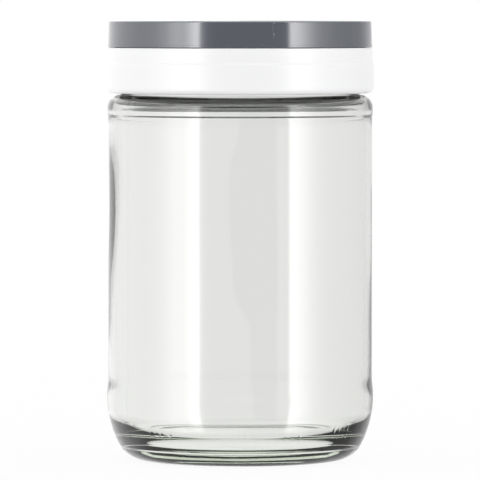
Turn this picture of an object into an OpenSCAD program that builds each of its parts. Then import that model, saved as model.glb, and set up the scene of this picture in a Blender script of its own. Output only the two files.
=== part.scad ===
// Sourdough starter jar: a blown glass jar with a lug neck, and a lid in two
// moulded pieces, whose cap turns on the screw ring to open a ring of vents.
// Millimetres, +Z up, origin at the centre of the circle that the jar stands on.

/* [Glass body] */
// Diameter of the label panel
body_d = 88; // [76:0.5:110]
// Height at which the shoulder starts to round in
shoulder_z = 117; // [80:0.5:170]
// Thickness of the side wall
wall = 2.5; // [1.6:0.05:4]
// Thickness of the glass across the shoulder
shoulder_t = 2.8; // [1.6:0.1:4]
// Flat between the shoulder's rounding and the neck
shoulder_land = 0.5; // [0.3:0.1:1.5]
// How far the shoulder bead stands proud of the panel
bead_out = 0.2; // [0.1:0.05:0.6]
// Height of the shoulder bead
bead_h = 2.4; // [1.5:0.1:5]

/* [Glass base] */
// How far the heel stands proud of the panel
heel_out = 0.45; // [0.1:0.05:1]
// Height over which the heel's swell fades into the panel
heel_fade = 6.5; // [3:0.5:15]
// Radius of the upper, larger arc of the heel
heel_high_r = 36; // [28:0.5:40]
// Radius of the lower, smaller arc of the heel
heel_low_r = 8.5; // [6:0.5:12]
// Slope, from upright, at which the two heel arcs meet
heel_split = 28; // [20:1:36]
// Width of the flat ring that the jar stands on
rest_w = 1.2; // [0.8:0.1:3]
// Rise of the underside at its centre
punt_h = 3.2; // [1.5:0.1:6]
// Thickness of the glass at the centre of the floor
floor_t = 4.2; // [2.5:0.1:8]
// How much higher the floor is at its centre than at its edge
floor_crown = 0.8; // [0.2:0.1:2]
// Rounding between the floor and the wall, inside
floor_r = 11; // [6:0.5:16]

/* [Neck] */
// How far the neck stands in from the label panel
neck_in = 4.7; // [3.5:0.1:8]
// Thickness of the neck's glass
neck_wall = 2.8; // [2:0.1:4]
// Height of the rim above the shoulder
neck_h = 12.6; // [11:0.1:20]
// Width of the flat on top of the rim
rim_land = 0.6; // [0.4:0.1:1.2]
// Number of ridges on the neck, and of lugs in the ring
lugs = 6; // [4:1:8]
// Depth of the ridges' middle below the rim
ridge_drop = 4.6; // [3.8:0.1:6]
// Radius of a ridge's section
ridge_r = 1.3; // [1:0.1:1.6]
// How far a ridge stands out from the neck
ridge_out = 1.6; // [1.2:0.1:2]
// Fall of a ridge from one end to the other
ridge_fall = 1.5; // [0.5:0.1:2]

/* [Screw ring] */
// Thickness of the skirt
skirt_wall = 2.4; // [1.4:0.1:3.5]
// Thickness of the web that lies on the seal
web_t = 1.6; // [1:0.1:3]
// Width of the web inside the collar
ledge_w = 8.6; // [7:0.1:14]
// Height of the narrower band at the top of the skirt
band_h = 4.9; // [2:0.1:7]
// How far that band is set in from the skirt
band_in = 0.45; // [0.2:0.05:0.8]
// Height of the slope between the skirt and the band
step_h = 0.4; // [0.2:0.1:1]
// Rounding of the skirt's lower outer edge
foot_r = 2; // [1:0.1:2.2]
// Rounding of the band's upper edge
edge_r = 0.3; // [0.2:0.05:0.5]
// Angle that one lug takes up
lug_span = 12; // [8:1:14]
// Height of a lug
lug_h = 1.8; // [1.2:0.1:2.6]
// Thickness of the collar that the cap turns on
collar_wall = 1.6; // [1.2:0.1:2.2]
// Angle that one vent takes up
vent_span = 14; // [8:1:18]
// Height of a vent
vent_h = 2.5; // [1.5:0.1:3]
// Height of a vent's sill above the web
sill_h = 0.4; // [0.3:0.1:0.8]
// Number of vents
vents = 6; // [4:1:8]

/* [Top cap] */
// Height of the cap, with the seam under it
cap_h = 9; // [8:0.1:14]
// Thickness of the cap's top
top_t = 2; // [1.2:0.1:3]
// Thickness of the cap's side at its lower edge
side_t = 1.6; // [1.2:0.1:2.2]
// How much smaller the cap's radius is at the top than at the bottom
draft = 0.2; // [0.1:0.05:0.5]
// Height of the lip along the lower edge
lip_h = 0.8; // [0.4:0.1:1.5]
// How far the lip stands out
lip_out = 0.1; // [0.05:0.05:0.3]
// Rounding of the top edge
top_round = 0.5; // [0.3:0.1:1]
// How much higher the top is at its centre than at its edge
crown = 0.2; // [0.1:0.1:1]
// Thickness of the shutter wall that hangs inside the collar
shutter_wall = 1.5; // [1:0.1:2.2]
// Width of the index mark on the cap's side
mark_w = 0.35; // [0.3:0.05:1]
// Height of the index mark
mark_h = 3.6; // [2:0.1:5]
// How far the index mark stands out
mark_out = 0.12; // [0.1:0.01:0.3]
// Direction of the index mark, from the front towards the right
mark_at = 14.3; // [-45:0.1:45]

/* [Stops of the cap] */
// Angle that the cap's stop tab takes up
tab_span = 5; // [3:0.5:8]
// How far the tab and the posts reach inward
stop_reach = 1.8; // [1:0.1:3]
// Height of the tab and of the posts
stop_h = 2; // [1.2:0.1:3]
// Angle that one stop post takes up
post_span = 5; // [3:0.5:8]

/* [Seal and snap beads] */
// Thickness of the seal
seal_t = 1.4; // [0.8:0.1:3]
// How far the seal reaches in past the bore of the neck
seal_over = 1; // [0.4:0.1:2]
// Radius of the bead that holds the seal in the ring
seal_bead_r = 0.5; // [0.4:0.05:0.7]
// Radius of the snap bead round the collar
collar_bead_r = 0.6; // [0.5:0.05:0.8]
// Radius of the snap bead inside the cap
cap_bead_r = 0.8; // [0.7:0.05:1]
// Height of the collar above its snap bead's middle
snap_drop = 1.8; // [1.4:0.1:2.4]

/* [Clearances] */
// Between the shoulder and the ring's lower edge
skirt_lift = 0.5; // [0.3:0.1:2]
// Between the ridges' crests and the skirt
skirt_gap = 1.2; // [0.8:0.1:2]
// Between a lug and the neck
lug_gap = 0.4; // [0.2:0.1:0.8]
// Between a lug and the ridge above it when the lid is tight
lug_play = 0.3; // [0.2:0.1:0.6]
// Angle free at each side of a lug as it passes between two ridges
entry_play = 5; // [3:1:8]
// Between the seal and the skirt
seal_gap = 0.2; // [0.1:0.05:0.4]
// Between the seal and the bead that holds it
seat_gap = 0.1; // [0.05:0.05:0.3]
// Between the ring's band and the cap's lower edge, seen as a seam
seam = 0.2; // [0.15:0.05:0.5]
// How far the cap's lower edge is set in from the ring's band
cap_set = 0.05; // [0:0.05:0.5]
// Between the collar and the shutter, and between the shutter and the posts
turn_gap = 0.3; // [0.2:0.05:0.5]
// Between the collar's outside and the cap's side
collar_gap = 1.2; // [1.1:0.05:1.25]
// Between the two snap beads
snap_gap = 0.15; // [0.1:0.05:0.3]
// Angle free between the tab and a post at each end of its travel
stop_play = 0.5; // [0.3:0.1:1]

/* [Hidden] */
$fn = 128;
// How far a cut runs past the face that it opens
past = 1;
// How deep a piece is rooted in what carries it
root = 0.4;
// Turn of one arc's step in an outline
arc_step = 6;
// Direction of the jar's front, which faces -Y
front = -90;

glass_colour = [0.84, 0.89, 0.87, 0.4];
seal_colour = [0.82, 0.83, 0.82];
ring_colour = [0.96, 0.96, 0.95];
cap_colour = [0.40, 0.41, 0.44];

// Glass radii and heights
body_r = body_d / 2;
inside_r = body_r - wall;
neck_r = body_r - neck_in;
bore_r = neck_r - neck_wall;
bead_r = body_r + bead_out;
shoulder_r = bead_r - neck_r - shoulder_land;
shoulder_top = shoulder_z + shoulder_r;
rim_z = shoulder_top + neck_h;
rim_r = (neck_wall - rim_land) / 2;
throat_r = (inside_r - bore_r) / 2;
throat_z = shoulder_top - shoulder_t;
heel_r = body_r + heel_out;
heel_z = heel_low_r * (1 - sin(heel_split)) + heel_high_r * sin(heel_split);
rest_r = heel_r - heel_high_r + (heel_high_r - heel_low_r) * cos(heel_split);
floor_z = punt_h + floor_t;
floor_edge_r = inside_r - floor_r;
floor_edge_z = floor_z - floor_crown;

// Ridges, and the lugs that pass between them and turn under them
pitch = 360 / lugs;
ridge_span = pitch - lug_span - 2 * entry_play;
ridge_z = rim_z - ridge_drop;
ridge_tilt = atan(ridge_fall / (2 * neck_r * sin(ridge_span / 2)));
lug_top = ridge_z - ridge_r - ridge_fall * lug_span / ridge_span / 2 - lug_play;

// Ring
skirt_in = neck_r + ridge_out + skirt_gap;
skirt_r = skirt_in + skirt_wall;
band_r = skirt_r - band_in;
skirt_z = shoulder_top + skirt_lift;
web_z = rim_z + seal_t;
web_top = web_z + web_t;
step_z = web_top - band_h;

// Cap, collar and shutter
cap_r = band_r - cap_set;
cap_z = web_top + seam;
cap_top = web_top + cap_h;
under_z = cap_top - top_t;
cap_in = cap_r - side_t;
collar_r = cap_in - collar_gap;
collar_in = collar_r - collar_wall;
open_r = collar_in - ledge_w;
shutter_r = collar_in - turn_gap;
shutter_in = shutter_r - shutter_wall;
shutter_z = web_top + turn_gap;
vent_z = web_top + sill_h;
vent_top = vent_z + vent_h;
vent_pitch = 360 / vents;
snap_z = under_z - snap_drop;
snap_reach = collar_bead_r + cap_bead_r + snap_gap;
snap_fall = sqrt(snap_reach * snap_reach - collar_gap * collar_gap);

// Stops: the tab hangs from the shutter, and the posts stand on the web
stop_out = shutter_in - turn_gap;
stop_in = stop_out - stop_reach;
vent_turn = vent_pitch / 2;
post_near = tab_span / 2 + stop_play + post_span / 2;

// Points along an arc about centre c, from angle a to angle b
function arc(c, r, a, b) =
    let (n = max(2, ceil(abs(b - a) / arc_step)))
    [for (i = [0:n]) c + r * [cos(a + (b - a) * i / n), sin(a + (b - a) * i / n)]];

// Points of a shallow dome, from its crown on the axis at height z out to its
// edge at radius r, which lies h lower
function dome(r, z, h) =
    let (big = (r * r + h * h) / (2 * h), n = 8)
    [for (i = [0:n]) [r * i / n, z - big + sqrt(big * big - pow(r * i / n, 2))]];

function reversed(p) = [for (i = [len(p) - 1:-1:0]) p[i]];

// An outline without points that repeat the one before
function joined(p) =
    [for (i = [0:len(p) - 1]) if (i == 0 || norm(p[i] - p[i - 1]) > 0.001) p[i]];

// A body of revolution about the jar's axis
module turned(outline) {
    rotate_extrude() polygon(joined(outline));
}

// A round bead about the jar's axis
module bead(r, z, section) {
    rotate_extrude() translate([r, z]) circle(r = section, $fn = 32);
}

// A block between two radii and two heights that takes up an angle about mid
module sector(r, z, span, mid) {
    rotate([0, 0, mid - span / 2])
        rotate_extrude(angle = span)
            translate([r[0], z[0]]) square([r[1] - r[0], z[1] - z[0]]);
}

// The glass, from the underside's centre up the outside, over the rim and
// down the inside to the floor's centre
glass_outline = concat(
    dome(rest_r - rest_w, punt_h, punt_h),
    arc([rest_r, heel_low_r], heel_low_r, -90, -heel_split),
    arc([heel_r - heel_high_r, heel_z], heel_high_r, -heel_split, 0),
    [[body_r, heel_z + heel_fade]],
    [[body_r, shoulder_z - bead_h], [bead_r, shoulder_z - bead_h + bead_out]],
    arc([bead_r - shoulder_r, shoulder_z], shoulder_r, 0, 90),
    [[neck_r, shoulder_top]],
    arc([neck_r - rim_r, rim_z - rim_r], rim_r, 0, 90),
    arc([bore_r + rim_r, rim_z - rim_r], rim_r, 90, 180),
    arc([bore_r + throat_r, throat_z + throat_r], throat_r, 180, 270),
    arc([inside_r - throat_r, throat_z - throat_r], throat_r, 90, 0),
    arc([floor_edge_r, floor_edge_z + floor_r], floor_r, 0, -90),
    reversed(dome(floor_edge_r, floor_z, floor_crown))
);

// One ridge, which falls clockwise as seen from above
module ridge(mid) {
    rotate([0, 0, mid]) translate([0, 0, ridge_z]) rotate([ridge_tilt, 0, 0])
        rotate([0, 0, -ridge_span / 2])
            rotate_extrude(angle = ridge_span)
                translate([neck_r + ridge_out - ridge_r, 0])
                    circle(r = ridge_r, $fn = 32);
}

module jar() {
    color(glass_colour) {
        turned(glass_outline);
        for (i = [0:lugs - 1]) ridge((i + 0.5) * pitch);
    }
}

module seal_ring() {
    inner = bore_r - seal_over;
    outer = skirt_in - seal_gap;
    color(seal_colour)
        rotate_extrude() translate([inner, rim_z]) square([outer - inner, seal_t]);
}

// The ring, from the skirt's lower inner edge up the outside, over the collar
// and back under the web
ring_outline = concat(
    [[skirt_in, skirt_z]],
    arc([skirt_r - foot_r, skirt_z + foot_r], foot_r, -90, 0),
    [[skirt_r, step_z - step_h], [band_r, step_z]],
    arc([band_r - edge_r, web_top - edge_r], edge_r, 0, 90),
    [[collar_r, web_top], [collar_r, under_z], [collar_in, under_z], [collar_in, web_top]],
    [[open_r, web_top], [open_r, web_z], [skirt_in, web_z]]
);

module screw_ring() {
    color(ring_colour) {
        difference() {
            union() {
                turned(ring_outline);
                bead(collar_r, snap_z, collar_bead_r);
                bead(skirt_in, rim_z - seat_gap - seal_bead_r, seal_bead_r);
            }
            for (i = [0:vents - 1])
                sector([collar_in - past, collar_r + past], [vent_z, vent_top], vent_span, i * vent_pitch);
        }
        for (i = [0:lugs - 1])
            sector([neck_r + lug_gap, skirt_in + root], [lug_top - lug_h, lug_top], lug_span, i * pitch);
        for (mid = [-post_near, vent_turn + post_near])
            sector([stop_in, stop_out], [web_top - root, web_top + stop_h], post_span, mid);
    }
}

// The cap, from its lower inner edge up the outside to the top's centre, then
// out along the underside and down the shutter
cap_outline = concat(
    [[cap_in, cap_z], [cap_r, cap_z], [cap_r, cap_z + lip_h], [cap_r - lip_out, cap_z + lip_h]],
    arc([cap_r - lip_out - draft - top_round, cap_top - crown - top_round], top_round, 0, 90),
    reversed(dome(cap_r - lip_out - draft - top_round, cap_top, crown)),
    [[0, under_z], [shutter_in, under_z], [shutter_in, shutter_z]],
    [[shutter_r, shutter_z], [shutter_r, under_z], [cap_in, under_z]]
);

module top_cap() {
    mark_r = cap_r - lip_out - draft;
    mark_top = cap_top - crown - top_round;
    color(cap_colour) {
        difference() {
            union() {
                turned(cap_outline);
                bead(cap_in, snap_z - snap_fall, cap_bead_r);
            }
            for (i = [0:vents - 1])
                sector([shutter_in - past, shutter_r + turn_gap / 2], [shutter_z - past, vent_top],
                    vent_span, (i + 0.5) * vent_pitch);
        }
        sector([stop_in, shutter_in + root], [shutter_z, shutter_z + stop_h], tab_span, 0);
        rotate([0, 0, front + mark_at])
            translate([mark_r - root, -mark_w / 2, mark_top - mark_h])
                cube([root + mark_out, mark_w, mark_h]);
    }
}

jar();
seal_ring();
screw_ring();
top_cap();
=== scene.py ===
import math

import bpy
import numpy as np
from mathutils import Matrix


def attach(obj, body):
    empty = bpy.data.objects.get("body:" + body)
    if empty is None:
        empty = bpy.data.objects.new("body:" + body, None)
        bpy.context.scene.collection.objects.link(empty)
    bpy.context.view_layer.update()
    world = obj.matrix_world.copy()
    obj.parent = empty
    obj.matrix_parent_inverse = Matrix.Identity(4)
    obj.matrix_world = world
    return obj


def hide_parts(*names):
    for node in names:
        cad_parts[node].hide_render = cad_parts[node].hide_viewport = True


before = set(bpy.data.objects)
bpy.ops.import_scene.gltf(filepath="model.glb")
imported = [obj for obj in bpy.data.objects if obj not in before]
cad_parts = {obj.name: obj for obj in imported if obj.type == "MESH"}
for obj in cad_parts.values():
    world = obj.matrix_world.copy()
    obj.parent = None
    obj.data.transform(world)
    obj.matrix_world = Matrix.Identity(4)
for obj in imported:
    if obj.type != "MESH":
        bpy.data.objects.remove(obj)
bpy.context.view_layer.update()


# The jar is one piece of clear soda-lime glass, blown in a two-part mould. It has a pushed-up base, a knurled
# ring to stand on, a rounded heel with the mould's dots and bars, a plain label panel, a beaded shoulder and
# a neck with six slanting ridges. Its inner face never touched the mould, so the wall's thickness wanders.
MM = 0.001
PANEL_R = 44.0
INSIDE_R = 41.5
BEAD_R = 44.2
NECK_R = 39.3
BORE_R = 36.5
SHOULDER_Z = 117.0
SHOULDER_R = 4.4
RIM_Z = 134.0
RIM_R = 1.1
THROAT_R = 2.5
THROAT_Z = 118.6
HEEL_R = 44.45
HEEL_HIGH_R = 36.0
HEEL_HIGH_Z = 21.41
HEEL_LOW_R = 8.5
HEEL_SPLIT = 28.0
HEEL_FADE = 6.5
REST_R = 32.73
REST_IN = 31.53
PUNT_H = 3.2
FLOOR_Z = 7.4
FLOOR_EDGE_R = 30.5
FLOOR_EDGE_Z = 6.6
FLOOR_R = 11.0
MARKS_TOP = 15.0
SPOKES = 288
FINE_SPOKES = 3 * SPOKES


def arc(centre, radius, start, end, steps):
    """Points on a circle of a profile: centre + radius * (cos a, sin a), a from start to end in degrees."""
    a = np.radians(np.linspace(start, end, steps + 1))
    return np.column_stack([centre[0] + radius * np.cos(a), centre[1] + radius * np.sin(a)])


def straight(start, end, steps):
    """Points on a line of a profile: start + t * (end - start), t from 0 to 1."""
    t = np.linspace(0, 1, steps + 1)[:, None]
    return np.asarray(start, float) + t * (np.asarray(end, float) - np.asarray(start, float))


def dome(radius, top, rise, steps):
    """Points of a shallow cap of a sphere, from its top on the axis out to its edge, rise lower."""
    big = (radius ** 2 + rise ** 2) / (2 * rise)
    r = np.linspace(0, radius, steps + 1)
    return np.column_stack([r, top - big + np.sqrt(big ** 2 - r ** 2)])


def ease(t):
    """0 below 0, 1 above 1, and 3 t^2 - 2 t^3 between them."""
    t = np.clip(t, 0, 1)
    return t * t * (3 - 2 * t)


def swell(bottom, top, low_r, high_r, steps):
    """A wall that goes from one radius to another along an eased curve between two heights."""
    z = np.linspace(bottom, top, steps + 1)
    return np.column_stack([low_r + (high_r - low_r) * ease((z - bottom) / (top - bottom)), z])


def path(*parts):
    """Joins parts of a profile, leaving out a point that repeats the one before."""
    p = np.vstack(parts)
    keep = np.ones(len(p), bool)
    keep[1:] = np.hypot(*(p[1:] - p[:-1]).T) > 1e-4
    return p[keep]


def outward(p):
    """The normals of a profile that runs counter-clockwise: its direction turned a quarter to the right."""
    d = np.gradient(p, axis=0)
    d /= np.hypot(d[:, 0], d[:, 1])[:, None]
    return np.column_stack([d[:, 1], -d[:, 0]])


def turned(p, angles, lift=0.0):
    """Carries a profile round the axis: x = r cos a, y = r sin a, z = z. Lift moves it along its normals."""
    n = outward(p)
    r = p[:, :1] + lift * n[:, :1]
    z = p[:, 1:] + lift * n[:, 1:]
    r, z = np.broadcast_arrays(r, z + 0 * angles[None, :])
    return MM * np.stack([r * np.cos(angles), r * np.sin(angles), z], axis=-1)


def between(first, second):
    """Faces between two rings of points: quads for equal rings, a fan at each spoke for 1 to 3 or 3 to 1."""
    a, b = np.asarray(first), np.asarray(second)
    if len(a) == len(b):
        return [np.column_stack([a, np.roll(a, -1), np.roll(b, -1), b])]
    if 3 * len(a) == len(b):
        a1, b0, b1, b2, b3 = np.roll(a, -1), b[0::3], b[1::3], b[2::3], np.roll(b, -1)[2::3]
        return [np.column_stack([a, a1, b2, b1]), np.column_stack([a, b1, b0]), np.column_stack([a1, b3, b2])]
    b1, a0, a1, a2, a3 = np.roll(b, -1), a[0::3], a[1::3], a[2::3], np.roll(a, -1)[2::3]
    return [np.column_stack([a1, a2, b1, b]), np.column_stack([a0, a1, b]), np.column_stack([a2, a3, b1])]


def piece(name, points, faces):
    """A smooth-shaded mesh object at the origin from points and arrays of triangles and quads."""
    mesh = bpy.data.meshes.new(name)
    mesh.vertices.add(len(points))
    mesh.vertices.foreach_set("co", np.asarray(points, np.float32).ravel())
    sizes = np.concatenate([np.full(len(f), f.shape[1]) for f in faces])
    mesh.loops.add(int(sizes.sum()))
    mesh.loops.foreach_set("vertex_index", np.concatenate([f.ravel() for f in faces]).astype(np.int32))
    mesh.polygons.add(len(sizes))
    mesh.polygons.foreach_set("loop_start", (np.cumsum(sizes) - sizes).astype(np.int32))
    mesh.update(calc_edges=True)
    mesh.validate()
    mesh.shade_smooth()
    made = bpy.data.objects.new(name, mesh)
    bpy.context.scene.collection.objects.link(made)
    return made


def skin(name, bands, start=None, end=None):
    """A closed skin over bands of rings, each band rows x spokes x 3. A start or an end is a point on
    the axis; without them the last ring joins the first one."""
    rings, points, count = [], [], 0
    for band in bands:
        for row in band:
            rings.append(np.arange(count, count + len(row)))
            points.append(row)
            count += len(row)
    faces = []
    for first, second in zip(rings, rings[1:] + ([] if start is not None else rings[:1])):
        faces += between(first, second)
    if start is not None:
        points += [np.atleast_2d(start), np.atleast_2d(end)]
        first, last = rings[0], rings[-1]
        faces.append(np.column_stack([np.full(len(first), count), np.roll(first, -1), first]))
        faces.append(np.column_stack([last, np.roll(last, -1), np.full(len(last), count + 1)]))
    return piece(name, np.vstack(points), faces)


def apart(angles, middle):
    """How far each angle lies from a middle, in degrees from -180 to 180."""
    return (np.degrees(angles) - middle + 180) % 360 - 180


def rise(distance, width):
    """A soft edge: 0 outside it and 1 from width inside it on; distance is how far inside a point is."""
    return ease(distance / width)


coarse = np.linspace(0, 2 * np.pi, SPOKES, endpoint=False)
fine = np.linspace(0, 2 * np.pi, FINE_SPOKES, endpoint=False)

# Under the jar: the push-up, a dome inside the ring that it stands on.
under = dome(REST_IN, PUNT_H, PUNT_H, 26)[1:-1]

# The ring that it stands on and the lower heel, with the knurl's bars and the mould's dots and short bars.
heel_low = arc((REST_R, HEEL_LOW_R), HEEL_LOW_R, -90, -HEEL_SPLIT, 22)
heel_angle = math.degrees(math.asin((HEEL_HIGH_Z - MARKS_TOP) / HEEL_HIGH_R))
heel_centre = (HEEL_R - HEEL_HIGH_R, HEEL_HIGH_Z)
heel_mid = arc(heel_centre, HEEL_HIGH_R, -HEEL_SPLIT, -heel_angle, 21)
punt_edge = dome(REST_IN, PUNT_H, PUNT_H, 120)[-4:]
stand = path(punt_edge, straight((REST_IN, 0), (REST_R, 0), 3), heel_low, heel_mid)

KNURL_BARS = 96
KNURL_DEPTH = 0.22
KNURL_REACH = 0.9
KNURL_TOP = 3.3
knurl_wave = np.cos(KNURL_BARS * fine)[None, :]
knurl_r, knurl_z = stand[:, :1], stand[:, 1:]
outside = knurl_r > REST_R - KNURL_REACH
knurl_band = outside * rise(knurl_z + 0.02, 0.05) * rise(KNURL_TOP - knurl_z, 0.5)
knurl_foot = 0.45 * outside * rise(knurl_r - REST_R + KNURL_REACH, 0.3) * rise(0.12 - knurl_z, 0.1)
stand_lift = -KNURL_DEPTH * (knurl_band + knurl_foot) * ease(0.55 - 0.9 * knurl_wave)

MARK_OUT = 0.08
DOTS = [(-42.5, 10.4), (-39.6, 10.2), (-36.8, 10.3), (-32.4, 10.4), (-24.6, 11.6), (20.5, 9.4), (23.8, 9.4)]
BARS = [(-2.6, 10.0, 3.4), (0.0, 10.0, 3.4), (2.6, 10.0, 3.4), (27.2, 9.4, 2.8),
        (45.8, 10.4, 3.2), (48.8, 10.4, 2.0), (51.8, 10.4, 2.0), (54.8, 10.4, 3.2)]
for side, z in DOTS:
    across = np.radians(apart(fine, side - 90))[None, :] * knurl_r
    reach = np.hypot(across, (knurl_z - z) * 1.06)
    stand_lift = np.maximum(stand_lift, MARK_OUT * rise(0.85 - reach, 0.6))
for side, z, tall in BARS:
    across = np.radians(apart(fine, side - 90))[None, :] * knurl_r
    along = np.maximum(np.abs(knurl_z - z) - tall / 2, 0)
    stand_lift = np.maximum(stand_lift, MARK_OUT * rise(0.55 - np.hypot(across, along), 0.45))

# The outside above the marks: heel, panel, shoulder and neck, up to the rim.
BEAD_LOW_Z = 114.3
BEAD_FULL_Z = 114.9
NECK_FOOT_R = 0.7
NECK_FOOT_Z = 122.05
NECK_LOW_Z = 122.3
NECK_MID_Z = 125.6
NECK_HIGH_Z = 132.8
wall_out = path(
    arc(heel_centre, HEEL_HIGH_R, -heel_angle, 0, 8)[1:],
    swell(HEEL_HIGH_Z, HEEL_HIGH_Z + HEEL_FADE, HEEL_R, PANEL_R, 6),
    straight((PANEL_R, HEEL_HIGH_Z + HEEL_FADE), (PANEL_R, BEAD_LOW_Z), 20),
    swell(BEAD_LOW_Z, BEAD_FULL_Z, PANEL_R, BEAD_R, 4),
    straight((BEAD_R, BEAD_FULL_Z), (BEAD_R, SHOULDER_Z), 3),
    arc((BEAD_R - SHOULDER_R, SHOULDER_Z), SHOULDER_R, 0, 82, 12),
    arc((NECK_R + NECK_FOOT_R, NECK_FOOT_Z), NECK_FOOT_R, 262, 180, 5),
    straight((NECK_R, NECK_LOW_Z), (NECK_R, NECK_MID_Z), 4),
    straight((NECK_R, NECK_MID_Z), (NECK_R, NECK_HIGH_Z), 24),
    arc((NECK_R - RIM_R, RIM_Z - RIM_R), RIM_R, 0, 90, 6),
)
RIDGES = 6
RIDGE_HALF = 19.0
RIDGE_Z = 129.4
RIDGE_OUT = 1.6
RIDGE_REACH = 1.5
RIDGE_FALL = 1.5
RIDGE_FROM_Z = 124.0
ridge_turn = (np.degrees(coarse) % (360 / RIDGES)) - 180 / RIDGES
ridge_mid = RIDGE_Z + RIDGE_FALL * ridge_turn / (2 * RIDGE_HALF)
ridge_share = np.clip(np.abs(wall_out[:, 1:] - ridge_mid) / RIDGE_REACH, 0, 1)
ridge_lift = RIDGE_OUT * (1 - ridge_share ** 2) ** 0.8 * rise(RIDGE_HALF - np.abs(ridge_turn), 4.0)
ridge_lift = ridge_lift * (wall_out[:, 1:] > RIDGE_FROM_Z)
SEAM_OUT = 0.05
SEAM_TOP_Z = 121.0
SEAMS_AT = (32.0, 212.0)
for seam_at in SEAMS_AT:
    seam_gap = np.abs(apart(coarse, seam_at))[None, :]
    ridge_lift = ridge_lift + SEAM_OUT * rise(1.6 - seam_gap, 1.6) * (wall_out[:, 1:] < SEAM_TOP_Z)

# The inside, from the rim's top down the bore, the throat and the wall to the floor's centre.
wall_in = path(
    straight((NECK_R - RIM_R, RIM_Z), (BORE_R + RIM_R, RIM_Z), 2),
    arc((BORE_R + RIM_R, RIM_Z - RIM_R), RIM_R, 90, 180, 6),
    straight((BORE_R, RIM_Z - RIM_R), (BORE_R, THROAT_Z + THROAT_R), 6),
    arc((BORE_R + THROAT_R, THROAT_Z + THROAT_R), THROAT_R, 180, 270, 8),
    arc((INSIDE_R - THROAT_R, THROAT_Z - THROAT_R), THROAT_R, 90, 0, 8),
    straight((INSIDE_R, THROAT_Z - THROAT_R), (INSIDE_R, FLOOR_EDGE_Z + FLOOR_R), 34),
    arc((FLOOR_EDGE_R, FLOOR_EDGE_Z + FLOOR_R), FLOOR_R, 0, -90, 16),
    dome(FLOOR_EDGE_R, FLOOR_Z, FLOOR_Z - FLOOR_EDGE_Z, 16)[::-1][:-1],
)
# Waves of the wall: turns round the axis, climb per mm of height, phase and size in mm.
WANDER = [(2, 0.021, 0.4, 0.16), (3, -0.034, 2.1, 0.11), (5, 0.052, 4.0, 0.06), (7, -0.027, 1.2, 0.045),
          (11, 0.09, 5.2, 0.025), (1, 0.013, 3.3, 0.10), (16, 0.14, 0.9, 0.012)]
in_z = wall_in[:, 1:]
inside_only = (np.arange(len(wall_in)) > 8)[:, None]
wander = sum(size * np.sin(turns * coarse[None, :] + climb * in_z + phase)
             for turns, climb, phase, size in WANDER)
wander = 0.4 * wander * rise(in_z - 4, 16) * rise(116 - in_z, 16)
THICK_AT = 184.0
thick = 0.35 * np.exp(-(apart(coarse, THICK_AT)[None, :] / 14) ** 2 - ((in_z - 84) / 18) ** 2)
wander = (wander + thick) * inside_only

jar = skin(
    "jar_glass",
    [turned(under, coarse), turned(stand, fine, stand_lift), turned(wall_out, coarse, ridge_lift),
     turned(wall_in, coarse, wander)],
    (0, 0, PUNT_H * MM), (0, 0, FLOOR_Z * MM),
)


class Value:
    """A value in a material. + - * and / on it add Math nodes, and node() adds a node of any other kind."""

    def __init__(self, tree, socket=None):
        self.tree = tree
        self.socket = socket

    def node(self, kind, settings=None, inputs=None, output=0):
        """Adds a node: its settings first, a ramp's stops among them, then its inputs as links or numbers."""
        made = self.tree.nodes.new(kind)
        for name, value in (settings or {}).items():
            if name != "stops":
                setattr(made, name, value)
                continue
            elements = made.color_ramp.elements
            for i, (place, colour) in enumerate(value):
                stop = elements[i] if i < 2 else elements.new(1.0)
                stop.position = place
                stop.color = colour if len(np.shape(colour)) else (colour, colour, colour, 1)
        for name, value in (inputs or {}).items():
            if isinstance(value, Value):
                self.tree.links.new(value.socket, made.inputs[name])
            else:
                made.inputs[name].default_value = value
        return Value(self.tree, made.outputs[output] if len(made.outputs) else None)

    def math(self, operation, *inputs):
        return self.node("ShaderNodeMath", {"operation": operation}, dict(enumerate(inputs)))

    def __add__(self, other):
        return self.math("ADD", self, other)

    __radd__ = __add__

    def __sub__(self, other):
        return self.math("SUBTRACT", self, other)

    def __rsub__(self, other):
        return self.math("SUBTRACT", other, self)

    def __mul__(self, other):
        return self.math("MULTIPLY", self, other)

    __rmul__ = __mul__

    def __truediv__(self, other):
        return self.math("DIVIDE", self, other)


def new_material(name):
    """A material with an empty tree, and the value from which its nodes are made."""
    made = bpy.data.materials.new(name)
    made.use_nodes = True
    made.node_tree.nodes.clear()
    return made, Value(made.node_tree)


def noise(start, where, scale, detail=2.0, roughness=0.5):
    """Smooth noise from 0 to 1 at a scale per metre."""
    return start.node("ShaderNodeTexNoise", {"noise_dimensions": "3D"},
                      {"Vector": where, "Scale": scale, "Detail": detail, "Roughness": roughness})


def stretched(start, where, scale):
    """A place scaled along each axis, so that a pattern on it is drawn out."""
    return start.node("ShaderNodeVectorMath", {"operation": "MULTIPLY"}, {0: where, 1: scale})


glass, start = new_material("clear_glass")
place = start.node("ShaderNodeTexCoord", output=3)
ripple = noise(start, stretched(start, place, (1.0, 1.0, 0.35)), 70.0, 1.0)
peel = noise(start, place, 520.0, 1.0)
dimples = start.node("ShaderNodeBump", {}, {"Strength": 1.0, "Distance": 0.00004,
                                            "Height": ripple + 0.06 * peel})
tint = start.node("ShaderNodeMix", {"data_type": "RGBA"}, {
    0: noise(start, place, 24.0), 6: (0.990, 0.992, 0.984, 1), 7: (0.998, 0.999, 0.994, 1)}, output=2)
surface = start.node("ShaderNodeBsdfPrincipled", {}, {
    "Base Color": tint, "Roughness": 0.0, "IOR": 1.5, "Transmission Weight": 1.0, "Normal": dimples})
depth = start.node("ShaderNodeVolumeAbsorption", {}, {"Color": (0.80, 0.86, 0.74, 1), "Density": 22.0})
start.node("ShaderNodeOutputMaterial", {}, {"Surface": surface, "Volume": depth})
jar.data.materials.append(glass)
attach(jar, "jar")
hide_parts("jar")


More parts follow.
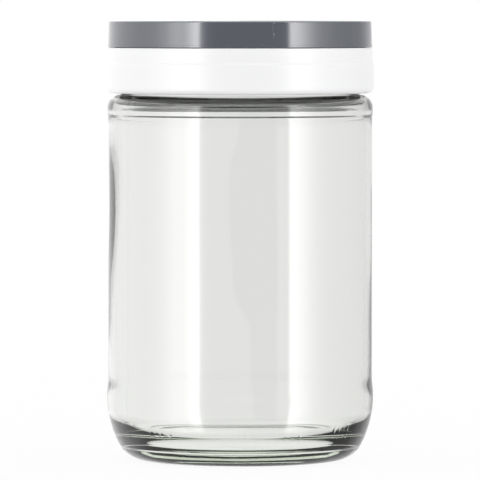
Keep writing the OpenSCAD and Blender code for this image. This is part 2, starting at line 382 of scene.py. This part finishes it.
# The seal is a flat ring die-cut from silicone sheet. It sits on the rim, held in the ring by a bead inside
# the skirt, and its cut edges are a little rounded.
SEAL_IN = 35.5
SEAL_OUT = 41.9
SEAL_T = 1.4


def rounded(corners, steps=5):
    """A closed profile through corners (radius, height, rounding). An arc that touches both sides takes the
    place of a corner, with a point of each side close before and after it, which keeps the sides straight."""
    c = np.array([k[:2] for k in corners], float)
    out = []
    for here, before, after, size in zip(c, np.roll(c, 1, 0), np.roll(c, -1, 0), (k[2] for k in corners)):
        if size == 0:
            out.append(here[None, :])
            continue
        u = (before - here) / np.hypot(*(before - here))
        v = (after - here) / np.hypot(*(after - here))
        half = math.acos(np.clip(u @ v, -1, 1)) / 2
        middle = here + (u + v) / np.hypot(*(u + v)) * size / math.sin(half)
        reach = size / math.tan(half)
        a0 = math.atan2(*(here + u * reach - middle)[::-1])
        a1 = math.atan2(*(here + v * reach - middle)[::-1])
        turn = (a1 - a0 + math.pi) % (2 * math.pi) - math.pi
        bend = arc(middle, size, math.degrees(a0), math.degrees(a0 + turn), steps)
        out += [(here + u * reach * 1.3)[None, :], bend, (here + v * reach * 1.3)[None, :]]
    return path(*out)


seal_profile = rounded([(SEAL_IN, RIM_Z, 0.2), (SEAL_OUT, RIM_Z, 0.2), (SEAL_OUT, RIM_Z + SEAL_T, 0.2),
                        (SEAL_IN, RIM_Z + SEAL_T, 0.2)])
around = np.linspace(0, 2 * np.pi, 256, endpoint=False)
seal = skin("seal", [turned(seal_profile, around)])
silicone, start = new_material("silicone")
place = start.node("ShaderNodeTexCoord", output=3)
cloud = noise(start, place, 60.0, 3.0)
surface = start.node("ShaderNodeBsdfPrincipled", {}, {
    "Base Color": start.node("ShaderNodeMix", {"data_type": "RGBA"},
                             {0: cloud, 6: (0.60, 0.61, 0.59, 1), 7: (0.68, 0.69, 0.67, 1)}, output=2),
    "Roughness": 0.42 + 0.12 * cloud,
    "Subsurface Weight": 0.25, "Subsurface Radius": (0.002, 0.002, 0.002),
    "Normal": start.node("ShaderNodeBump", {}, {"Strength": 0.4, "Distance": 0.00003,
                                                "Height": noise(start, place, 2400.0, 2.0)})})
start.node("ShaderNodeOutputMaterial", {}, {"Surface": surface})
seal.data.materials.append(silicone)
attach(seal, "seal")
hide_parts("seal_ring")


# The screw ring is moulded in white polypropylene. Inside its skirt are six lugs and the bead that holds the
# seal; on top stands a collar with six vents and a snap bead, and two stop posts for the cap.
SKIRT_IN = 42.1
SKIRT_R = 44.5
BAND_R = 44.05
SKIRT_Z = 121.9
STEP_Z = 132.1
STEP_H = 0.4
WEB_Z = 135.4
WEB_TOP = 137.0
OPEN_R = 31.0
COLLAR_R = 41.2
COLLAR_IN = 39.6
COLLAR_TOP = 144.0
SNAP_Z = 142.2
LUG_LOW = 125.76
LUG_TOP = 127.56
LUG_IN = 39.7
LUG_HALF = 6.0
VENT_LOW = 137.4
VENT_TOP = 139.9
VENT_HALF = 7.0
POST_IN = 35.7
POST_OUT = 37.5
POST_TOP = 139.0
POST_HALF = 2.5
POSTS_AT = (-5.5, 35.5)
HOLD_Z = 133.4
HOLD_R = 0.5
SHARP = math.radians(38)


def bead_points(radius, z, size, start, end, steps=8):
    """The corners of a round bead on a wall, without rounding."""
    return [(r, h, 0) for r, h in arc((radius, z), size, start, end, steps)]


def level(radius, heights):
    """Points of an upright wall at given heights, without rounding."""
    return [(radius, h, 0) for h in heights]


def flat(z, radii):
    """Points of a level face at given radii, without rounding."""
    return [(r, z, 0) for r in radii]


def spokes(edges, soft=0.12, count=288):
    """Angles round the axis in radians: an even count, and for each edge in degrees three close together."""
    even = np.arange(count) * 360 / count
    edges = np.asarray(edges, float) % 360
    far = np.min(np.abs((even[:, None] - edges[None, :] + 180) % 360 - 180), axis=1) > 2.2 * soft
    close = (edges[:, None] + np.array([-soft, 0, soft])).ravel() % 360
    return np.radians(np.unique(np.round(np.concatenate([even[far], close]), 4)))


def step_up(inside, soft):
    """A block's edge: 0 outside, and inside from 0.84 at the edge itself to 1 once soft is passed."""
    return (inside >= -1e-6) * (1 - 0.16 * (1 - np.clip(inside / soft, 0, 1)) ** 2)


ring_corners = (
    [(SKIRT_IN, SKIRT_Z, 0.35), (SKIRT_R, SKIRT_Z, 2.0), (SKIRT_R, STEP_Z - STEP_H, 0.25),
     (BAND_R, STEP_Z, 0.12), (BAND_R, WEB_TOP, 0.3), (COLLAR_R, WEB_TOP, 0.15)]
    + level(COLLAR_R, [VENT_LOW, VENT_LOW + 0.8, VENT_TOP - 0.8, VENT_TOP])
    + bead_points(COLLAR_R, SNAP_Z, 0.6, -90, 90)
    + [(COLLAR_R, COLLAR_TOP, 0.3), (COLLAR_IN, COLLAR_TOP, 0.3)]
    + level(COLLAR_IN, [VENT_TOP, VENT_TOP - 0.8, VENT_LOW + 0.8, VENT_LOW])
    + [(COLLAR_IN, WEB_TOP, 0.15)]
    + flat(WEB_TOP, [POST_OUT + 0.12, POST_OUT, POST_OUT - 0.25, POST_IN + 0.25, POST_IN, POST_IN - 0.12])
    + [(OPEN_R, WEB_TOP, 0.4), (OPEN_R, WEB_Z, 0.4), (SKIRT_IN, WEB_Z, 0.25)]
    + bead_points(SKIRT_IN, HOLD_Z, HOLD_R, 90, 270)
    + level(SKIRT_IN, [131.0, LUG_TOP + 0.12, LUG_TOP, LUG_TOP - 0.3, LUG_LOW + 0.3, LUG_LOW, LUG_LOW - 0.12])
)
ring_profile = rounded(ring_corners)
sixths = np.arange(6) * 60.0
ring_edges = np.concatenate([sixths - LUG_HALF, sixths + LUG_HALF, sixths - VENT_HALF, sixths + VENT_HALF,
                             [post + end for post in POSTS_AT for end in (-POST_HALF, POST_HALF)]])
ring_angles = spokes(ring_edges)
ring_turn = (np.degrees(ring_angles) + 30) % 60 - 30
ring_r = ring_profile[:, :1] + 0 * ring_angles
ring_z = ring_profile[:, 1:] + 0 * ring_angles
on_skirt = (np.abs(ring_profile[:, :1] - SKIRT_IN) < 0.01) & (ring_profile[:, 1:] < 131.5)
lug_ends = step_up((LUG_HALF - np.abs(ring_turn))[None, :] * 0.72, 0.6)
lug_faces = step_up(np.minimum(ring_profile[:, 1:] - LUG_LOW, LUG_TOP - ring_profile[:, 1:]), 0.3)
ring_r = ring_r - (SKIRT_IN - LUG_IN) * on_skirt * lug_ends * lug_faces
on_web = (np.abs(ring_profile[:, 1:] - WEB_TOP) < 0.01) & (ring_profile[:, :1] < COLLAR_IN - 1)
for post in POSTS_AT:
    post_ends = step_up((POST_HALF - np.abs(apart(ring_angles, post)))[None, :] * 0.64, 0.2)
    post_faces = step_up(np.minimum(ring_profile[:, :1] - POST_IN, POST_OUT - ring_profile[:, :1]), 0.25)
    ring_z = ring_z + (POST_TOP - WEB_TOP) * on_web * post_ends * post_faces
ring_points = MM * np.stack([ring_r * np.cos(ring_angles), ring_r * np.sin(ring_angles), ring_z], axis=-1)


def windows(rows, columns, outer, inner, open_columns):
    """Faces of a closed tube of rows x columns with windows cut right through from its outer to its inner
    side: outer and inner are the rows that bound them, and the four sides of each window are closed."""
    index = np.arange(rows * columns).reshape(rows, columns)
    right, up = np.roll(index, -1, 1), np.roll(index, -1, 0)
    cells = np.stack([index, right, np.roll(right, -1, 0), up], axis=-1)
    whole = np.ones((rows, columns), bool)
    a, b = outer
    c, d = inner
    whole[a:b][:, open_columns] = False
    whole[c:d][:, open_columns] = False
    faces = [cells[whole]]
    sill = np.column_stack([index[a], right[a], right[d], index[d]])
    head = np.column_stack([index[c], right[c], right[b], index[b]])
    faces += [sill[open_columns], head[open_columns]]
    first = open_columns & ~np.roll(open_columns, 1)
    last = np.roll(open_columns & ~np.roll(open_columns, -1), 1)
    for k in range(b - a):
        low_out, high_out, low_in, high_in = index[a + k], index[a + k + 1], index[d - k], index[d - k - 1]
        faces.append(np.column_stack([low_out, low_in, high_in, high_out])[first])
        faces.append(np.column_stack([low_in, low_out, high_out, high_in])[last])
    return faces


def row_at(profile, r, z):
    """The row of a profile closest to a point."""
    return int(np.argmin(np.hypot(profile[:, 0] - r, profile[:, 1] - z)))


next_turn = np.roll(ring_turn, -1)
vent_columns = (np.abs(ring_turn) <= VENT_HALF + 1e-3) & (np.abs(next_turn) <= VENT_HALF + 1e-3)
ring_faces = windows(
    len(ring_profile), len(ring_angles),
    (row_at(ring_profile, COLLAR_R, VENT_LOW), row_at(ring_profile, COLLAR_R, VENT_TOP)),
    (row_at(ring_profile, COLLAR_IN, VENT_TOP), row_at(ring_profile, COLLAR_IN, VENT_LOW)),
    vent_columns,
)
ring = piece("screw_ring_white", ring_points.reshape(-1, 3), ring_faces)
ring.data.set_sharp_from_angle(angle=SHARP)
white, start = new_material("white_polypropylene")
place = start.node("ShaderNodeTexCoord", output=3)
cloud = noise(start, place, 45.0, 3.0)
flow = noise(start, stretched(start, place, (1.0, 1.0, 0.2)), 160.0, 2.0)
surface = start.node("ShaderNodeBsdfPrincipled", {}, {
    "Base Color": start.node("ShaderNodeMix", {"data_type": "RGBA"},
                             {0: cloud, 6: (0.925, 0.928, 0.93, 1), 7: (0.94, 0.94, 0.94, 1)}, output=2),
    "Roughness": 0.26 + 0.08 * flow,
    "Normal": start.node("ShaderNodeBump", {}, {"Strength": 0.2, "Distance": 0.00003,
                                                "Height": flow + 0.2 * noise(start, place, 1500.0)})})
start.node("ShaderNodeOutputMaterial", {}, {"Surface": surface})
ring.data.materials.append(white)
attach(ring, "ring")
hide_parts("screw_ring")


# The cap is moulded in grey polypropylene and polished on the outside. It clips over the collar's bead, and
# inside hangs the shutter, a wall with six notches that uncover the vents and a tab for the stop posts.
CAP_R = 44.0
CAP_Z = 137.2
LIP_TOP = 138.0
SIDE_LOW_R = 43.9
SIDE_TOP_R = 43.7
CAP_EDGE_Z = 145.8
CAP_TOP = 146.0
CAP_IN = 42.4
UNDER_Z = 144.0
SHUTTER_R = 39.3
SHUTTER_IN = 37.8
SHUTTER_Z = 137.3
TAB_TOP = 139.3
CAP_BEAD_Z = 141.22
MARK_AT = 14.3 - 90
MARK_LOW = 141.7
MARK_HIGH = 145.3
MARK_W = 0.35
MARK_RAISED = 0.12
TAB_IN = 35.7
TAB_HALF = 2.5
EDGE_ROUND = 0.5

shutter_rows = [SHUTTER_Z + 0.5, TAB_TOP - 0.25, TAB_TOP, TAB_TOP + 0.12, VENT_TOP]
mark_rows = [MARK_LOW - 0.1, MARK_LOW, MARK_LOW + 0.2, MARK_HIGH - 0.2]


def side_r(z):
    """The radius of the cap's side at a height: it narrows evenly from the lip to the top edge."""
    return SIDE_LOW_R + (SIDE_TOP_R - SIDE_LOW_R) * (z - LIP_TOP) / (MARK_HIGH - LIP_TOP)


cap_profile = rounded(
    flat(UNDER_Z, [2.0, 8.0, 16.0, 24.0, 32.0])
    + [(SHUTTER_IN, UNDER_Z, 0.3)] + level(SHUTTER_IN, shutter_rows[::-1])
    + [(SHUTTER_IN, SHUTTER_Z, 0.3), (SHUTTER_R, SHUTTER_Z, 0.3)] + level(SHUTTER_R, [VENT_TOP])
    + [(SHUTTER_R, UNDER_Z, 0.3), (CAP_IN, UNDER_Z, 0.4)]
    + bead_points(CAP_IN, CAP_BEAD_Z, 0.8, 90, 270)
    + [(CAP_IN, CAP_Z, 0.2), (CAP_R, CAP_Z, 0.12), (CAP_R, LIP_TOP, 0.04), (SIDE_LOW_R, LIP_TOP, 0.03)]
    + [(side_r(z), z, 0) for z in mark_rows]
    + [(SIDE_TOP_R, CAP_EDGE_Z, EDGE_ROUND)]
    + [(r, z, 0) for r, z in dome(SIDE_TOP_R - EDGE_ROUND, CAP_TOP, CAP_TOP - CAP_EDGE_Z, 24)[1:-1][::-1]]
)
cap_edges = np.concatenate([sixths + 30 - VENT_HALF, sixths + 30 + VENT_HALF, [-TAB_HALF, TAB_HALF]])
half_mark = math.degrees(MARK_W / 2 / SIDE_TOP_R)
mark_edges = MARK_AT + np.array([-half_mark - 0.1, -half_mark, 0, half_mark, half_mark + 0.1])
cap_angles = np.radians(np.unique(np.round(np.concatenate(
    [np.degrees(spokes(cap_edges)), mark_edges % 360]), 4)))
cap_p_r, cap_p_z = cap_profile[:, :1], cap_profile[:, 1:]
cap_r = cap_p_r + 0 * cap_angles
cap_z = cap_p_z + 0 * cap_angles
notch_turn = (np.degrees(cap_angles) % 60) - 30
notch = (VENT_HALF - np.abs(notch_turn) >= -1e-3)[None, :]
hanging = (cap_p_r < SHUTTER_R + 0.01) & (cap_p_r > SHUTTER_IN - 0.01) & (cap_p_z < VENT_TOP)
cap_z = np.where(hanging & notch, np.maximum(cap_z, VENT_TOP - 0.3 * (VENT_TOP - cap_p_z) / 2.6), cap_z)
on_shutter = (np.abs(cap_p_r - SHUTTER_IN) < 0.31) & (cap_p_z < TAB_TOP + 0.01) & (cap_p_z > SHUTTER_Z - 0.01)
tab_ends = step_up((TAB_HALF - np.abs(apart(cap_angles, 0)))[None, :] * 0.66, 0.2)
cap_r = cap_r - (SHUTTER_IN - TAB_IN) * on_shutter * tab_ends * step_up(TAB_TOP - cap_p_z, 0.25)
on_side = (cap_p_r > SIDE_TOP_R - 0.01) & (cap_p_z > LIP_TOP + 0.2)
mark_width = step_up((half_mark - np.abs(apart(cap_angles, MARK_AT)))[None, :], 0.1)
mark_height = step_up(np.minimum(cap_p_z - MARK_LOW, MARK_HIGH - cap_p_z), 0.2)
cap_r = cap_r + MARK_RAISED * on_side * mark_width * mark_height
cap_points = MM * np.stack([cap_r * np.cos(cap_angles), cap_r * np.sin(cap_angles), cap_z], axis=-1)
cap = skin("top_cap_grey", [cap_points], (0, 0, UNDER_Z * MM), (0, 0, CAP_TOP * MM))
cap.data.set_sharp_from_angle(angle=SHARP)
grey, start = new_material("grey_polypropylene")
place = start.node("ShaderNodeTexCoord", output=3)
cloud = noise(start, place, 38.0, 3.0)
flow = noise(start, stretched(start, place, (1.0, 1.0, 0.3)), 110.0, 2.0)
surface = start.node("ShaderNodeBsdfPrincipled", {}, {
    "Base Color": start.node("ShaderNodeMix", {"data_type": "RGBA"},
                             {0: cloud, 6: (0.103, 0.111, 0.132, 1), 7: (0.113, 0.121, 0.142, 1)}, output=2),
    "Roughness": 0.08 + 0.06 * flow, "Specular IOR Level": 1.0,
    "Normal": start.node("ShaderNodeBump", {}, {"Strength": 0.5, "Distance": 0.00003,
                                                "Height": flow + 0.1 * noise(start, place, 900.0)})})
start.node("ShaderNodeOutputMaterial", {}, {"Surface": surface})
cap.data.materials.append(grey)
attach(cap, "cap")
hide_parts("top_cap")


# The studio: a pale table that keeps the jar's shadow, a white backdrop, a tall soft light on each side of
# the camera, and a camera at the photograph's place.
FLOOR_Z_M = -0.0002
FLOOR_SOLID = 0.35
FLOOR_END = 0.8
floor_r = np.concatenate([np.linspace(0.01, 0.2, 12), np.linspace(0.24, FLOOR_END, 16)])
floor_rows = np.stack([floor_r[:, None] * np.cos(around), floor_r[:, None] * np.sin(around),
                       np.full((len(floor_r), len(around)), FLOOR_Z_M)], axis=-1)[::-1]
floor_index = np.arange(floor_rows.shape[0] * floor_rows.shape[1]).reshape(floor_rows.shape[:2])
floor_faces = [q for a, b in zip(floor_index, floor_index[1:]) for q in between(a, b)]
middle = np.full(len(around), floor_index.size)
floor_faces.append(np.column_stack([floor_index[-1], np.roll(floor_index[-1], -1), middle]))
floor = piece("floor", np.vstack([floor_rows.reshape(-1, 3), [[0, 0, FLOOR_Z_M]]]), floor_faces)
floor.visible_glossy = False
floor.visible_transmission = False
table, start = new_material("pale_table")
place = start.node("ShaderNodeTexCoord", output=3)
grain = noise(start, place, 30.0, 2.0)
far = start.node("ShaderNodeVectorMath", {"operation": "LENGTH"}, {0: place}, output=1)
camera_ray = start.node("ShaderNodeLightPath", output=0)
matt = start.node("ShaderNodeBsdfDiffuse", {}, {
    "Color": start.node("ShaderNodeMix", {"data_type": "RGBA"},
                        {0: grain, 6: (0.89, 0.89, 0.89, 1), 7: (0.91, 0.91, 0.91, 1)}, output=2)})
bright = start.node("ShaderNodeEmission", {}, {"Color": (1, 1, 1, 1), "Strength": 1.0})
seen = start.node("ShaderNodeMixShader", {}, {0: camera_ray * 0.93, 1: matt, 2: bright})
gone = start.node("ShaderNodeBsdfTransparent")
fade = start.node("ShaderNodeMapRange", {"interpolation_type": "SMOOTHSTEP"},
                  {"Value": far, "From Min": FLOOR_SOLID, "From Max": FLOOR_END})
start.node("ShaderNodeOutputMaterial", {},
           {"Surface": start.node("ShaderNodeMixShader", {}, {0: fade, 1: seen, 2: gone})})
floor.data.materials.append(table)

# Brightness round the jar by direction, in degrees from the camera's side with right positive, set for the
# front view: what gloss mirrors, then what shows through the glass. Matt surfaces are lit evenly.
MIRRORED = [(-180, 1.2), (-150, 1.3), (-123, 1.2), (-96, 1.1), (-80, 1.35), (-74, 1.75), (-68, 2.1),
            (-62, 3.0), (-56, 3.4), (-50, 3.3), (-45, 4.6), (-39, 6.5), (-36.5, 6.6), (-35, 3.2),
            (-33.5, 1.2), (-28, 0.25), (-20, 0.08), (24, 0.08), (41, 0.15),
            (43, 0.9), (44.5, 6.0), (47, 6.0), (52, 5.2),
            (58, 3.9), (64, 2.7), (70, 1.75), (77, 1.2), (91, 0.75), (107, 0.55), (127, 0.5), (150, 0.85)]
THROUGH = [(-180, 0.84), (-120, 0.82), (-90, 0.84), (-62, 1.1), (-37, 1.4), (-34, 0.6), (-20, 0.6),
           (24, 0.6), (42, 0.62), (45, 1.4), (62, 1.1), (90, 0.8), (120, 0.8)]
EVEN = 1.03
PEAK = 8.0
SOFTBOX_TOP = 32.0
CEILING = 1.1
GROUND = 0.85
world = bpy.data.worlds.new("studio")
bpy.context.scene.world = world
world.use_nodes = True
world.node_tree.nodes.clear()
start = Value(world.node_tree)
way = start.node("ShaderNodeTexCoord", output=0)
split = start.node("ShaderNodeSeparateXYZ", {}, {0: way})
way_x, way_y, way_z = [Value(start.tree, side) for side in split.socket.node.outputs]
azimuth = start.math("ARCTAN2", way_x, 0 - way_y)
height = start.math("ARCSINE", way_z) * (180 / math.pi)
above = start.node("ShaderNodeMapRange", {"interpolation_type": "SMOOTHSTEP"},
                   {"Value": height, "From Min": SOFTBOX_TOP - 4, "From Max": SOFTBOX_TOP + 6})
below = start.node("ShaderNodeMapRange", {"interpolation_type": "SMOOTHSTEP"},
                   {"Value": 0 - height, "From Min": SOFTBOX_TOP - 6, "From Max": SOFTBOX_TOP + 6})


def light_round(stops, ceiling, ground):
    """Brightness by direction: the stops round the horizon, the ceiling above them and the ground below."""
    ramp = start.node("ShaderNodeValToRGB", {"stops": [((a + 180) / 360, v / PEAK) for a, v in stops]},
                      {0: azimuth / (2 * math.pi) + 0.5})
    return ramp * PEAK * (1 - above) * (1 - below) + ceiling * above + ground * below


camera_ray = start.node("ShaderNodeLightPath", output=0)
gloss_ray = start.node("ShaderNodeLightPath", output=3)
through_ray = start.node("ShaderNodeLightPath", output=6)
mirror_ray = gloss_ray * (1 - through_ray)
matt_ray = 1 - camera_ray - mirror_ray - through_ray
strength = (camera_ray + mirror_ray * light_round(MIRRORED, CEILING, GROUND)
            + through_ray * light_round(THROUGH, CEILING, GROUND) + EVEN * matt_ray)
backdrop = start.node("ShaderNodeBackground", {}, {"Color": (1, 1, 1, 1), "Strength": strength})
start.node("ShaderNodeOutputWorld", {}, {"Surface": backdrop})

CAMERA_AT = (0.0, -1.7286, 0.1475)
LOOKS_AT = (0.0, 0.0, 0.0729)
camera_data = bpy.data.cameras.new("camera")
camera_data.sensor_width = 36.0
camera_data.lens = 389.2
camera_data.clip_start = 0.01
camera_data.clip_end = 50.0
camera = bpy.data.objects.new("camera", camera_data)
bpy.context.scene.collection.objects.link(camera)
camera.location = CAMERA_AT
drop = math.atan2(CAMERA_AT[2] - LOOKS_AT[2], LOOKS_AT[1] - CAMERA_AT[1])
camera.rotation_euler = (math.pi / 2 - drop, 0, 0)
bpy.context.scene.camera = camera
bpy.context.scene.view_settings.view_transform = "Standard"
